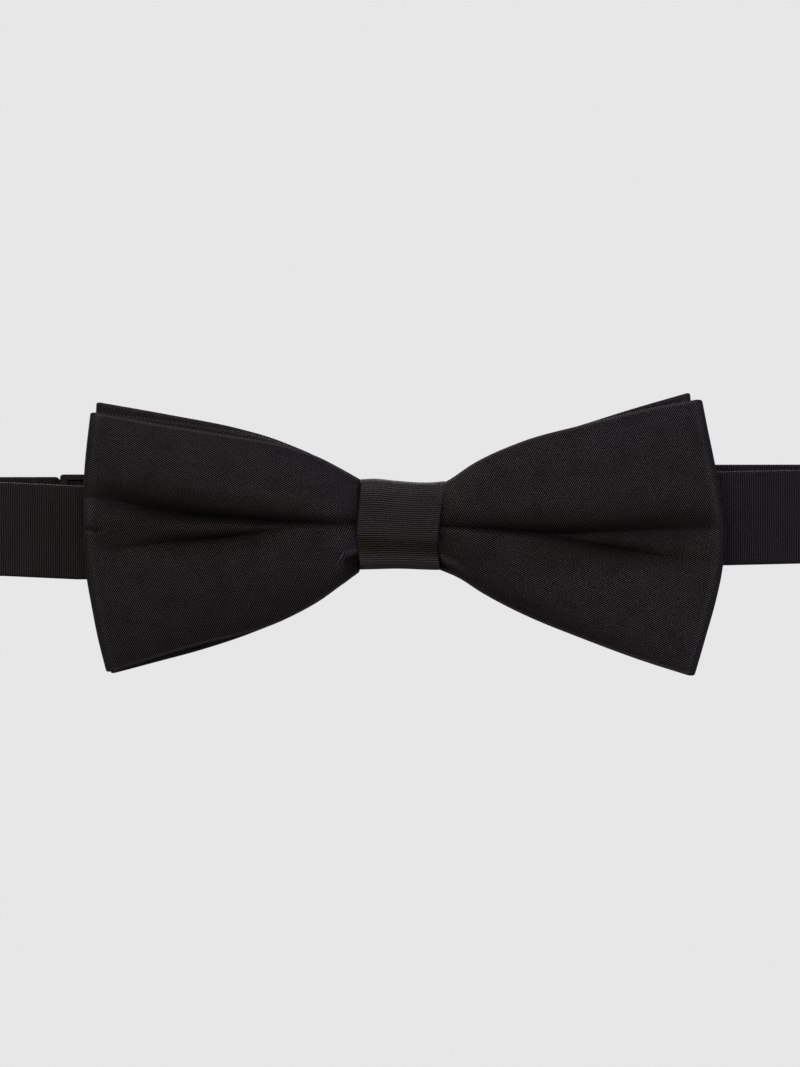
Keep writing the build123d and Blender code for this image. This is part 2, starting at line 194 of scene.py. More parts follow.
def end_cap(base, last_row, ring):
    """Faces across one open end of a sheet, row by row. Where its two sides meet, at the first and
    last row, two corners are one and the same, so that one is left out."""
    faces = []
    for v in range(last_row):
        inner_high, inner_low = base + ring - v - 1, base + (ring - v) % ring
        faces.append(list(dict.fromkeys([base + v, base + v + 1, inner_high, inner_low])))
    return faces


def sheet(name, mid, thick, uv, closed=False, seam_row=None, uv_above=None, relief=None, painted_light=None):
    """Cloth of even thickness on a mid-surface grid [along, across], as one closed mesh.
    With a seam row, faces above it take their weave from uv_above."""
    count_s, count_v = mid.shape[:2]
    normal = grid_normals(mid, closed)
    half = edge_profile(mid, thick)[..., None]
    outer = mid + normal * half
    if relief is not None:
        outer = outer + normal * relief[..., None]
    inner = mid - normal * half
    rows = np.concatenate([outer, inner[:, -2:0:-1]], axis=1)
    ring = rows.shape[1]
    vertices = rows.reshape(-1, 3)
    if painted_light is not None:
        painted_light = np.concatenate([painted_light, painted_light[:, -2:0:-1]], axis=1).ravel()
    row_of = np.array(list(range(count_v)) + list(range(count_v - 2, 0, -1)))
    last = count_s if closed else count_s - 1
    s0 = np.repeat(np.arange(last), ring)
    k0 = np.tile(np.arange(ring), last)
    s1 = (s0 + 1) % count_s
    k1 = (k0 + 1) % ring
    faces = np.stack([s0 * ring + k0, s1 * ring + k0, s1 * ring + k1, s0 * ring + k1], 1)
    v0, v1 = row_of[k0], row_of[k1]
    step_s = s0 + 1
    places = ((s0, v0), (step_s, v0), (step_s, v1), (s0, v1))
    uv_along = uv if not closed else np.concatenate([uv, uv[:1] + (uv[-1:] - uv[-2:-1]) * count_s], 0)
    corner_uv = np.stack([uv_along[place] for place in places], 1)
    if seam_row is not None:
        above = np.minimum(v0, v1) >= seam_row
        other = np.stack([uv_above[place] for place in places], 1)
        corner_uv = np.where(above[:, None, None], other, corner_uv)
    face_list = faces.tolist()
    uv_list = corner_uv.reshape(-1, 2).tolist()
    flat_from = len(face_list)
    if not closed:
        for s, flip in ((0, True), (count_s - 1, False)):
            for v, corners in enumerate(end_cap(s * ring, count_v - 1, ring)):
                face_list.append(corners[::-1] if flip else corners)
                uv_list.extend([list(uv[s, v])] * len(corners))
    return make_mesh(name, vertices, face_list, uv_list, flat_from, painted_light)


def arc_lengths(points):
    steps = np.linalg.norm(np.diff(points, axis=0), axis=-1)
    return np.concatenate([[0.0], np.cumsum(steps)])


# ---- bow: outlines as seen from the front ----
# Each line is z over x, but "side" is x over z, and depths are over the distance from the middle.
LEFT_FRONT = {
    "inner": -7.6,
    "top": [
        (-7.6, 8.35), (-11, 10.2), (-15.3, 12.35), (-20.7, 14.2), (-31.5, 16.3), (-45, 18.5),
        (-57.4, 20.8),
    ],
    "bottom": [
        (-7.6, -9), (-11, -11.4), (-14.8, -14.15), (-21.6, -17.8), (-38.7, -22.9),
        (-54.6, -27.85),
    ],
    "side": [
        (-27.85, -54.5), (-20.6, -56.25), (-15.1, -57.3), (-10.6, -58.1), (0, -58.9),
        (10, -58.6), (20.8, -57.5),
    ],
    "groove": [
        (-7.6, 0.1), (-17, 0.15), (-24, 0.45), (-31, 1), (-38, 1.6), (-45, 2.6),
        (-52, 4), (-59, 5),
    ],
    "groove_depth": [(7.4, 0.7), (12, 1.2), (20, 2.3), (32, 3.1), (42, 2.8), (50, 2.3), (58, 1.1)],
    "branch": [
        (-18, -0.6), (-24, -1.4), (-31, -2.4), (-38, -3.1), (-45, -3.7), (-52, -4.6),
        (-59, -5.4),
    ],
    "branch_depth": [(18.5, 0), (24, 0.6), (31, 1.3), (40, 1.3), (46, 1), (52, 0.5), (57, 0.15)],
}
RIGHT_FRONT = {
    "inner": 7.4,
    "top": [
        (7.4, 7.1), (9.2, 7.95), (14.2, 11.2), (22.7, 15.05), (34.9, 18.45), (47.5, 21.6),
        (56.3, 23.25),
    ],
    "bottom": [
        (7.4, -8.35), (11.3, -9.95), (15.8, -12.8), (20.3, -15.25), (24.9, -17.45), (33.7, -21.05),
        (44.8, -25.25), (54.8, -28.5),
    ],
    "side": [
        (-28.5, 55.05), (-20.6, 57.3), (-15.1, 58.85), (-9.5, 60.1), (-2.5, 60.8), (3.3, 60.3),
        (12.3, 58.65), (17.9, 57.5), (23.25, 56.5),
    ],
    "groove": [
        (7.4, -0.6), (17, -1.1), (24, -1.6), (31, -1.75), (38, -1.5), (45, -1.25),
        (52, -0.95), (61, -0.6),
    ],
    "groove_depth": [(7.4, 0.7), (12, 1.2), (20, 2.1), (32, 2.4), (42, 2.2), (52, 1.8), (60, 0.9)],
    "branch": [(25, -2), (31, -2.9), (38, -4.1), (45, -5.3), (52, -6.3), (61, -7.2)],
    "branch_depth": [(25.5, 0), (31, 0.8), (38, 1.5), (45, 1.2), (51, 0.6), (57, 0.1)],
}
LEFT_FRONT_BACK = dict(
    LEFT_FRONT,
    top=[(-7.6, 7.6), (-21, 14.7), (-38.4, 18.7), (-50.2, 20.2), (-57.4, 20.9)],
    bottom=[(-7.6, -8), (-21.6, -17), (-38.7, -22.4), (-54.4, -27.5)],
)
RIGHT_FRONT_BACK = dict(
    RIGHT_FRONT,
    top=[(7.4, 6.9), (22.7, 14.6), (34.9, 18), (56.3, 23)],
    bottom=[(7.4, -8), (25, -16.9), (34.9, -20.9), (54.8, -28)],
)
LEFT_REAR = {
    "inner": -7.6,
    "top": [
        (-7.6, 7.6), (-12.5, 11), (-16.6, 13.2), (-19.9, 14.6), (-23.4, 15.95), (-30, 17.85),
        (-42.8, 20.4), (-56.3, 22.8),
    ],
    "bottom": [(-7.6, -8), (-22, -18.1), (-27, -20.2), (-37.8, -23.8), (-44.5, -25.6), (-53.9, -28.1)],
    "side": [(-28.1, -53.9), (0, -57.4), (22.8, -56.6)],
    "groove": [(-7.6, 0), (-57, 0)],
}
RIGHT_REAR = {
    "inner": 7.4,
    "top": [(7.4, 6.9), (22, 14.5), (36.3, 19.2), (42.6, 21.2), (54.1, 24.55)],
    "bottom": [(7.4, -8), (17, -12.8), (34, -20.4), (52.5, -26.6)],
    "side": [(-26.6, 52.5), (0, 56.9), (24.5, 54.45)],
    "groove": [(7.4, 0), (57, 0)],
}

# Rows of a wing: lower edge 0, groove 1, upper edge 2, closest together where the cloth turns.
EDGE_ROWS, CLOTH_ROWS = [0.0, 0.004, 0.010, 0.019, 0.032], np.linspace(0.05, 0.62, 15)
PLEAT_ROWS = [np.linspace(0.64, 0.93, 24), np.linspace(0.94, 1.0, 11)]
HALF_ROWS = np.concatenate([EDGE_ROWS, CLOTH_ROWS, *PLEAT_ROWS])
GROOVE_ROW = len(HALF_ROWS) - 1
ROW_SHARE = np.concatenate([HALF_ROWS, (2.0 - HALF_ROWS[::-1])[1:]])
WING_COLUMNS = np.linspace(0, 1, 110)
GROOVE_END = 58.0
FOLD_STEPS = 12
FOLD_REACH = 1.1
HALF_SKIN = 0.5


def wing_plan(outline):
    """Front-view x and z of a wing's grid [column, row]: column 0 at the knot, row 0 at the lower edge."""
    x_inner = outline["inner"]
    sign = 1.0 if x_inner > 0 else -1.0
    side, groove = smooth(outline["side"]), smooth(outline["groove"])
    top, bottom = smooth(outline["top"]), smooth(outline["bottom"])
    z_top_end, z_low_end = outline["top"][-1][1], outline["bottom"][-1][1]
    groove_end = groove(side(groove(sign * GROOVE_END)))
    fold = sign * (FOLD_REACH + HALF_SKIN)
    q = ROW_SHARE[None, :]

    def rows_between(low, mid, high):
        return np.where(q <= 1, low + (mid - low) * q, mid + (high - mid) * (q - 1))

    def columns_to(z_end):
        """x of every column, along a line that meets the wing's end at height z_end."""
        return x_inner + (side(z_end) - fold - x_inner) * WING_COLUMNS[:, None]

    z_low, z_top = bottom(columns_to(z_low_end)), top(columns_to(z_top_end))
    x = columns_to(rows_between(z_low_end, groove_end, z_top_end))
    return x, rows_between(z_low, groove(columns_to(groove_end)), z_top)


CREASE_ROUNDING = 0.006


def crease(offset, reach_up, reach_down):
    """Section of a pressed-in fold: 1 on its line, 0 beyond its reach above and below the line."""
    share = np.abs(offset) / np.where(offset > 0, reach_up, reach_down)
    rounded = np.sqrt(share**2 + CREASE_ROUNDING)
    return np.clip(1 - rounded, 0, 1) ** 2 / (1 - math.sqrt(CREASE_ROUNDING)) ** 2


def ripple(x, z, scale, phase):
    """Slow unevenness of hand-gathered cloth, between about -1 and 1."""
    a = np.sin(x / scale + 1.3 * np.sin(z / (1.7 * scale) + phase))
    b = np.sin(z / (1.3 * scale) - 0.9 * np.sin(x / (1.9 * scale) + 2 * phase))
    return 0.5 * (a + b)


def near_line(x, z, points):
    """Distance from each grid point to a short polyline."""
    best = np.full(x.shape, 1e9)
    for (x0, z0), (x1, z1) in zip(points[:-1], points[1:]):
        dx, dz = x1 - x0, z1 - z0
        t = np.clip(((x - x0) * dx + (z - z0) * dz) / (dx * dx + dz * dz), 0, 1)
        best = np.minimum(best, np.hypot(x - x0 - t * dx, z - z0 - t * dz))
    return best


# Below, `a` is the distance from the tie's middle: about 7.4 at the knot's side, 60 at a wing's end.
EDGE_DROP = 1.2


def front_relief(outline, x, z):
    """How far the front panel stands forward of its base plane: lobes, pleats and unevenness."""
    a = np.abs(x)
    q = np.broadcast_to(np.where(ROW_SHARE <= 1, ROW_SHARE, 2 - ROW_SHARE)[None, :], x.shape)
    crown = level([(7.4, 1), (12, 1.8), (20, 2.1), (30, 1.9), (42, 1.3), (52, 0.7), (60, 0.3)])(a)
    rolled_edge = level([(7.4, 0.1), (12, 0.4), (24, 1)])(a)
    height = crown * (1 - (1 - q) ** 2.6) + EDGE_DROP * (1 - rolled_edge * (1 - q) ** 9)
    groove = z - smooth(outline["groove"])(x)
    near_up = level([(7.4, 1.8), (20, 2), (40, 2.6), (55, 4)])(a)
    near_down = level([(7.4, 1.3), (24, 1.5), (34, 2.2), (45, 3.6), (55, 4.6)])(a)
    wide_up = level([(7.4, 2.5), (15, 4.5), (28, 6.5), (40, 8), (55, 9)])(a)
    wide_down = level([(7.4, 1.8), (24, 4.2), (40, 7), (55, 9)])(a)
    narrow, wide = crease(groove, near_up, near_down), crease(groove, wide_up, wide_down)
    height = height - level(outline["groove_depth"])(a) * (0.5 * narrow + 0.5 * wide)
    branch = z - smooth(outline["branch"])(x)
    reach = level([(20, 1.1), (34, 2), (50, 3.2)])(a)
    narrow, wide = crease(branch, reach, 0.8 * reach), crease(branch, 1.6 * reach, 2.6 * reach)
    height = height - level(outline["branch_depth"])(a) * (0.5 * narrow + 0.5 * wide)
    return height + 0.12 * away_from_knot(a) * ripple(x, z, 5.5, 0.7)


def away_from_knot(a):
    """0 where the cloth is held by the knot, 1 where it is free to lie unevenly."""
    return np.clip((a - 9) / 12, 0, 1)


RIM_INSET = 0.38
RIM_REACH = 0.2


def rim_of(x, z):
    """Where the painted edge highlight goes: 1 just inside the upper and lower edges of a wing, 0.25 at its
    end, falling to 0 either way.
    """
    distance = np.minimum(z - z[:, :1], z[:, -1:] - z)
    side = np.abs(x[-1:] - x)
    return bell(distance - RIM_INSET, RIM_REACH) + 0.25 * bell(side, 0.5)


def front_painted_light(outline, x, z):
    """Painted shade in the pressed pleat's groove and branch crease, more so on the left wing, and in the
    hollows below the puckers; painted highlights along the folded edges, on the pucker crests and high on
    the wing next to the knot.
    """
    a = np.abs(x)
    groove = z - smooth(outline["groove"])(x)
    strength = level([(7.4, 0.22), (12, 0.24), (24, 0.36), (34, 0.46), (48, 0.46), (60, 0.12)])(a)
    strength = strength * np.where(x > 0, 0.8, 1.0)
    up = level([(7.4, 2.4), (24, 4.5), (55, 6)])(a)
    down = level([(7.4, 2.6), (20, 5), (31, 8), (55, 9.5)])(a)
    crease_shade = strength * np.minimum(crease(groove, up, down) ** 0.5, 0.6)
    branch = z - smooth(outline["branch"])(x)
    crease_shade = crease_shade + 0.4 * level(outline["branch_depth"])(a) / 1.5 * crease(branch, 2.2, 3.4) ** 0.7
    ridge, hollow = pucker_parts(x, z)
    top_highlight = 0.35 * np.clip((z - 1.5) / 4, 0, 1) * bell(a - 8, 5)
    return 1.5 * rim_of(x, z) + top_highlight + 0.9 * ridge - np.clip(crease_shade, 0, 0.75) - 0.45 * hollow


def edge_painted_light(outline, x, z):
    """Painted highlight along the edges of a panel that has no pressed pleat; the outline is taken only to
    match the front panel's painted light function.
    """
    return 0.7 * rim_of(x, z)


LEFT_PUCKER = [(-7, -5.1), (-9.2, -5.3), (-10.6, -5.9), (-11.3, -7.2), (-11.9, -9.5)]
RIGHT_PUCKER = [(7, -5.2), (8.6, -6.7), (10.4, -7.4), (13.6, -9.6)]
EDGE_NICK = [(-60, -0.2), (-57.8, -0.9), (-56.2, -1.5)]
PUCKER_REACH = 0.36


def pucker_parts(x, z):
    """Small folds where the cloth goes under the knot: crests and the hollows below them, 0 to 1."""
    left, right = near_line(x, z, LEFT_PUCKER), near_line(x, z, RIGHT_PUCKER)
    crest = bell(left, PUCKER_REACH) * np.clip((z + 10.0) / 5, 0, 1)
    crest = crest + bell(right, PUCKER_REACH) * np.clip((15.0 - x) / 6, 0, 1)
    line = np.interp(x, *zip(*RIGHT_PUCKER))
    below_right = np.clip((line - 0.2 - z) / 0.7, 0, 1) * np.exp(-np.clip(x - 8.6, 0, None) / 1.6) * (x > 0)
    below_left = np.clip((x + 10.7) / 0.9, 0, 1) * np.clip((-5.5 - z) / 0.7, 0, 1) * (x < 0)
    return np.clip(crest, 0, 1), below_right + below_left


def puckers(x, z):
    """Relief of the small folds at the knot, and the nick in the left edge."""
    crest, hollow = pucker_parts(x, z)
    nick = near_line(x, z, EDGE_NICK)
    return 0.5 * crest - 0.75 * hollow - 0.5 * bell(nick, 0.3)


def fold_columns(front, back, outward):
    """Columns of the rounded fold that joins a front panel's end to the back panel's end."""
    columns = []
    front_edge, back_edge = front[-1], back[-1]
    slope = (front_edge[:, 2] - front[-3][:, 2]) / (front_edge[:, 0] - front[-3][:, 0])
    for i in range(1, FOLD_STEPS):
        angle = math.pi * i / FOLD_STEPS
        mix = (1 - math.cos(angle)) / 2
        column = front_edge * (1 - mix) + back_edge * mix
        column[:, 0] += outward * FOLD_REACH * math.sin(angle)
        column[:, 2] += slope * outward * FOLD_REACH * math.sin(angle)
        columns.append(column)
    return columns


GATHER_HALF = 6.3


def inner_strip(x_from, x_to, y, count):
    """Gathered strip under the knot, from one x to another."""
    z = -GATHER_HALF + 2 * GATHER_HALF * (ROW_SHARE / 2)
    places = np.linspace(x_from, x_to, count)
    return [np.stack([np.full_like(z, x), np.full_like(z, y), z], 1) for x in places]


# For the left (-1) and right (1) wing: x and z of the dart's end, and the turns above and below it.
DART = {
    -1: (-62.0, 4.5, math.radians(-12), math.radians(15)),
    1: (64.0, -1.0, math.radians(13), math.radians(-15)),
}
DART_SPREAD = math.radians(70)


def dart_uv(x, z, upper):
    """Cloth coordinates of a wing's front. The pleat takes in a dart of cloth, so above and below it
    the weave is turned about the dart's end by different angles."""
    sign = 1 if x.mean() > 0 else -1
    apex_x, apex_z, turn_up, turn_down = DART[sign]
    dx, dz = x - apex_x, z - apex_z
    outward = np.arctan2(np.abs(dz), sign * dx)
    turn = (turn_up if upper else turn_down) * ease(np.clip(outward / DART_SPREAD, 0, 1))
    cos, sin = np.cos(-turn), np.sin(-turn)
    return np.stack([dx * cos - dz * sin, dx * sin + dz * cos], -1)


# Strips under the knot: their columns, half the gap between the sleeve's ends, reach into the wings.
BACK_COLUMNS = 8
MIDDLE_COLUMNS = 14
END_GAP = 0.9
TUCK = 1.2


def loop_piece(name, front_plans, back_plans, front_depth, back_depth, painted_light_of, inner_y):
    """One bow loop as a single sleeve: centre back, left wing, over the front, right wing, centre back."""
    (left_front, right_front), (left_back, right_back) = front_plans, back_plans
    grids, painted_lights = {}, {}
    for key, outline, depth, painted_light in (
        ("lf", left_front, front_depth, painted_light_of),
        ("rf", right_front, front_depth, painted_light_of),
        ("lb", left_back, back_depth, edge_painted_light),
        ("rb", right_back, back_depth, edge_painted_light),
    ):
        x, z = wing_plan(outline)
        grids[key] = np.stack([x, depth(outline, x, z), z], -1)
        painted_lights[key] = painted_light(outline, x, z)
    front_y, back_y = inner_y
    left_x, right_x = left_front["inner"], right_front["inner"]
    columns = inner_strip(-END_GAP, left_x + TUCK, back_y, BACK_COLUMNS)
    columns += list(grids["lb"])
    columns += fold_columns(grids["lb"], grids["lf"], -1.0)
    columns += list(grids["lf"][::-1])
    columns += inner_strip(left_x + TUCK, right_x - TUCK, front_y, MIDDLE_COLUMNS)
    columns += list(grids["rf"])
    columns += fold_columns(grids["rf"], grids["rb"], 1.0)
    columns += list(grids["rb"][::-1])
    columns += inner_strip(right_x - TUCK, END_GAP, back_y, BACK_COLUMNS)
    mid = np.array(columns)
    uv_low, uv_high = weave_of(unrolled_x(mid, grids), mid[..., 2], left_x, right_x)
    rows = len(ROW_SHARE)
    behind, between = np.zeros((BACK_COLUMNS, rows)), np.zeros((MIDDLE_COLUMNS, rows))
    # Painted highlight of 0.3 over the folds at the wings' ends; the strips under the knot get no painted
    # light.
    fold = np.full((FOLD_STEPS - 1, rows), 0.3)
    left_painted_light = [behind, painted_lights["lb"], fold, painted_lights["lf"][::-1]]
    right_painted_light = [painted_lights["rf"], fold, painted_lights["rb"][::-1], behind]
    painted_light = np.concatenate(left_painted_light + [between] + right_painted_light)
    return sheet(name, mid, BOW_THICK, uv_low, seam_row=GROOVE_ROW, uv_above=uv_high, painted_light=painted_light)


def unrolled_x(mid, grids):
    """Place of each column across the sleeve's cloth as if it lay flat, equal to x on the front panel."""
    x = mid[..., 0].copy()
    turn = math.pi * FOLD_REACH
    inner = len(grids["lb"]) + BACK_COLUMNS
    for side, sign in (("l", -1.0), ("r", 1.0)):
        front_end, back_end = grids[side + "f"][-1][:, 0], grids[side + "b"][-1][:, 0]
        columns = slice(0, inner) if sign < 0 else slice(len(x) - inner, len(x))
        x[columns] = front_end + sign * turn - (x[columns] - back_end)
        for i in range(1, FOLD_STEPS):
            column = inner + FOLD_STEPS - 1 - i if sign < 0 else len(x) - inner - FOLD_STEPS + i
            x[column] = front_end + sign * turn * i / FOLD_STEPS
    return x


def weave_of(x, z, left_x, right_x):
    """Cloth coordinates for faces below and above the groove row."""
    low, high = np.stack([x, z], -1), np.stack([x, z], -1)
    for mask in (x < left_x, x > right_x):
        columns = np.where(mask.all(1))[0]
        low[columns] = dart_uv(x[columns], z[columns], False)
        high[columns] = dart_uv(x[columns], z[columns], True)
    return low, high


# Depth (y) of each panel's mid-surface. All four take the outline, which only the foremost one needs.
def front_loop_front(outline, x, z):
    near_knot = [(7.4, -15.2), (9, -15.9), (12, -16.6), (20, -17.2)]
    base = level(near_knot + [(35, -17.5), (50, -17), (60, -16.8)])(np.abs(x))
    return base + EDGE_DROP - front_relief(outline, x, z) - puckers(x, z)


def front_loop_back(outline, x, z):
    return level([(7.4, -13.75), (16, -14.2), (40, -14.25), (60, -14.4)])(np.abs(x))


def rear_pleats(x, z):
    """Shallow pleats that fan out from the knot on the layers behind."""
    a = np.abs(x)
    fade = level([(7.4, 1), (14, 0.9), (30, 0.35), (45, 0)])(a)
    spread = 0.16 * (a - 7.4)
    pair = crease(z - 3.2 - spread, 2.4, 2.4) + crease(z + 3.2 + spread, 2.4, 2.4)
    return 0.42 * fade * pair + 0.07 * ripple(x, z, 6.5, 2.1) * away_from_knot(a)


def rear_loop_front(outline, x, z):
    return level([(7.4, -12.3), (16, -12.6), (60, -12.7)])(np.abs(x)) - rear_pleats(x, z)


def rear_loop_back(outline, x, z):
    return level([(7.4, -10.9), (16, -10.95), (60, -10.8)])(np.abs(x)) - rear_pleats(x, z)


# ---- knot ----
KNOT_HALF_DEPTH = 5.4
KNOT_HALF_HEIGHT = 8.4
KNOT_STEPS = 240
# Shares of the knot's width, closest together at its two edges.
KNOT_EDGE = np.array([0.0, 0.006, 0.016, 0.03, 0.05])
KNOT_ROWS = np.concatenate([KNOT_EDGE, np.linspace(0.08, 0.92, 26), 1 - KNOT_EDGE[::-1]])
# How squared-off the knot's section is above and below its middle; 2 would be a plain ellipse.
SQUARE_TOP = 3.2
SQUARE_BOTTOM = 5.5


def knot_section():
    """Points evenly spaced round a squared-off oval, from the middle of the back over the top."""
    angle = math.pi - np.linspace(0, 2 * math.pi, 4001)
    c, s = np.cos(angle), np.sin(angle)
    power = np.where(s > 0, 2 / SQUARE_TOP, 2 / SQUARE_BOTTOM)
    deep = np.sign(c) * np.abs(c) ** power
    across = np.sign(s) * np.abs(s) ** power
    around = arc_lengths(np.stack([deep * KNOT_HALF_DEPTH, across * KNOT_HALF_HEIGHT], 1))
    even = np.linspace(0, around[-1], KNOT_STEPS, endpoint=False)
    return np.stack([np.interp(even, around, deep), np.interp(even, around, across)], 1)


def knot_surface():
    """Mid-surface of the wrapped cloth, half its thickness inside the knot's outside: [round, across]."""
    left_edge = level([(8.4, -7.1), (0.2, -7.85), (-2.2, -8), (-8.5, -7.25)])
    right_edge = level([(8, 9), (4.9, 8.3), (1.4, 7.8), (-5.7, 7.4), (-8.6, 7.7)])
    top_edge = level([(-7.1, 8.35), (-4.9, 8.4), (-0.6, 7.9), (4.4, 7.6), (9.2, 8.1)])
    low_edge = level([(-7.3, -8.55), (0, -8.3), (7.6, -8.6)])
    step = KNOT_THICK / 2
    mid_depth = (KNOT_LOW[1] + KNOT_HIGH[1]) / 2
    reach = (KNOT_HIGH[1] - KNOT_LOW[1]) / 2 - step
    columns = []
    for deep, across in knot_section():
        z_guess = KNOT_HALF_HEIGHT * across
        front_share = min(1.0, max(0.0, deep + 0.4) / 0.8)
        x_left = left_edge(z_guess) * front_share + (KNOT_LOW[0] + 0.1) * (1 - front_share)
        x_right = right_edge(z_guess) * front_share + (KNOT_HIGH[0] - 0.1) * (1 - front_share)
        x = x_left + (x_right - x_left) * KNOT_ROWS
        z_top, z_low = top_edge(x) - step, low_edge(x) + step
        z = (z_top + z_low) / 2 + (z_top - z_low) / 2 * across
        y = mid_depth - reach * deep * np.ones_like(x)
        columns.append(np.stack([x, y, z], 1))
    return np.array(columns)


KNOT_FRONT_DEPTH = 4.0
CREASE_REACH = 1.9


def knot_crease(x):
    """Height of the soft crease low on the knot's front."""
    return -4.4 - 0.04 * x


def knot_painted_light(mid):
    """Painted shade in the crease and painted highlights at the upper and lower bends of the front."""
    x, y, z = np.moveaxis(mid, -1, 0)
    front = y < KNOT_LOW[1] + KNOT_FRONT_DEPTH
    crease_shade = 0.34 * bell(z - knot_crease(x), 1.6)
    bend_highlight = 0.35 * bell(z - 7.0, 1.4) + 0.5 * bell(z + 7.1, 1.0)
    return np.where(front, bend_highlight - crease_shade, 0.0)


def knot_relief(mid):
    """Soft crease low on the front, slight swell, and the lapped seam at the back."""
    x, y, z = np.moveaxis(mid, -1, 0)
    front = y < KNOT_LOW[1] + KNOT_FRONT_DEPTH
    swell = 0.45 * np.exp(-((x / 6.5) ** 4)) * np.exp(-((z / 7.5) ** 4))
    share = np.clip((z - knot_crease(x)) / CREASE_REACH, -1, 1)
    low_crease = 0.5 * (1 - share**2) ** 2
    front_part = np.where(front, swell - low_crease + 0.06 * ripple(x, z, 3.2, 0.4), 0.0)
    back = y > KNOT_HIGH[1] - 3.0
    lap = 0.4 / (1 + np.exp(-(z - 0.4 * np.sin(x / 2.0) + 0.4) / 0.12)) * np.clip((6.0 - z) / 2.0, 0, 1)
    return front_part + np.where(back, lap, 0.0)


def knot_piece():
    mid = knot_surface()
    x_mid = mid[:, mid.shape[1] // 2]
    around = arc_lengths(np.concatenate([x_mid, x_mid[:1]], 0))[:-1]
    uv = np.stack([np.broadcast_to(around[:, None], mid.shape[:2]), mid[..., 0]], -1)
    relief, painted_light = knot_relief(mid), knot_painted_light(mid)
    return sheet("knot_wrap_cloth", mid, KNOT_THICK, uv, closed=True, relief=relief, painted_light=painted_light)


# ---- straps ----
def through(*points):
    """Straight lines from point to point, level beyond both ends."""
    xs, ys = zip(*points)
    return lambda x: np.interp(x, xs, ys)


# Height of the strap's middle and its width over x, for the front ply and the back ply.
BAND_WIDTH = 17.6
NARROW = 13.0
IN_SLIDER = 16.88
FRONT_CENTRE = through(
    (-112, -0.4), (-74, -1), (-60, -1.65), (-26, -0.5), (-8.6, 0),
    (8.6, 0), (26, 0.5), (60, 0.98), (112, 2.2),
)
FRONT_WIDTH = through((-26, BAND_WIDTH), (-8.6, NARROW), (8.6, NARROW), (26, BAND_WIDTH))
BACK_CENTRE = through(
    (-112, 0), (-64.7, 0.1), (-64.05, -0.05), (-52, -0.05),
    (-14, -0.3), (14, -0.3), (58, 2.4), (112, 2.5),
)
BACK_WIDTH = through(
    (-64.7, BAND_WIDTH), (-64.05, IN_SLIDER), (-52, IN_SLIDER),
    (-14, NARROW), (14, NARROW), (58, BAND_WIDTH),
)
STRAP_EDGE = np.array([0.0, 0.006, 0.014, 0.024, 0.036])
STRAP_SHARE = np.concatenate([STRAP_EDGE, np.linspace(0.06, 0.94, 23), 1 - STRAP_EDGE[::-1]])


def straight_path(x_from, x_to, y, step=0.7):
    count = max(2, int(abs(x_to - x_from) / step) + 1)
    return np.stack([np.linspace(x_from, x_to, count), np.full(count, y)], 1)


def eased_path(x_from, x_to, y_from, y_to, step=0.7):
    """Straight run that eases from one plane to another."""
    count = max(3, int(abs(x_to - x_from) / step) + 1)
    t = np.linspace(0, 1, count)
    return np.stack([x_from + (x_to - x_from) * t, y_from + (y_to - y_from) * ease(t)], 1)


def turn_path(x, y_from, y_to, outward, count=22):
    """Half turn at x, bulging outward (+1 right, -1 left)."""
    radius = abs(y_to - y_from) / 2
    angle = np.linspace(0, math.pi, count)
    middle = (y_from + y_to) / 2
    return np.stack([x + outward * radius * np.sin(angle), middle + (y_from - middle) * np.cos(angle)], 1)


def joined(*paths):
    kept = [paths[0]] + [p[1:] for p in paths[1:]]
    return np.concatenate(kept, 0)


def strap_piece(name, path, centre, width, thick=BAND_THICK, wave=0.06, uv_start=0.0):
    """Strap that stands on a plan path; centre and width are given per path point."""
    share = STRAP_SHARE[None, :]
    z = centre[:, None] + (share - 0.5) * width[:, None]
    x = np.broadcast_to(path[:, 0:1], z.shape)
    y = np.broadcast_to(path[:, 1:2], z.shape) + wave * ripple(x, z, 7.0, 1.1)
    mid = np.stack([x, y, z], -1)
    along = arc_lengths(path) + uv_start
    uv = np.stack([np.broadcast_to(along[:, None], z.shape), z], -1)
    distance = (0.5 - np.abs(share - 0.5)) * width[:, None]
    # Painted highlight along both long edges of the strap.
    piece = sheet(name, mid, thick, uv, painted_light=0.1 * bell(distance, 0.4))
    return piece


# Distances from the middle where the strap's pieces meet, and the spans meant for its bends; nothing is
# bent over them here.
SPLIT_FRONT = 40.0
SPLIT_SIDE = 88.0
SPLIT_TAIL = 2.1 - SWING_X
SPLIT_STRETCH = 38.0
SPLIT_LOOP = 13.5
FRONT_BEND = (4, 17)
SIDE_BEND = (60, 86)
BACK_BEND = (84, 61)
SWING_REACH = 1.9
# Cloth beyond SPLIT_SIDE and round the fold.
FOLD_LENGTH = 2 * (HINGE_FOLD - SPLIT_SIDE) + math.pi * (BACK_Y - FRONT_Y) / 2


def front_strap(name, path):
    """Piece of the front ply."""
    x = path[:, 0]
    return strap_piece(name, path, FRONT_CENTRE(x), FRONT_WIDTH(x), uv_start=abs(x[0]))


def back_strap(name, path, **options):
    """Piece of the back ply; its ribs carry on from the fold's."""
    x = path[:, 0]
    start = 2 * SPLIT_SIDE + FOLD_LENGTH - abs(x[0])
    return strap_piece(name, path, BACK_CENTRE(x), BACK_WIDTH(x), uv_start=start, **options)


def tail_strap(name, path, thick=TAIL_THICK):
    """Piece of the back ply that is thinner and pressed flat, as it is towards the clasp."""
    return back_strap(name, path, thick=thick, wave=0.0)


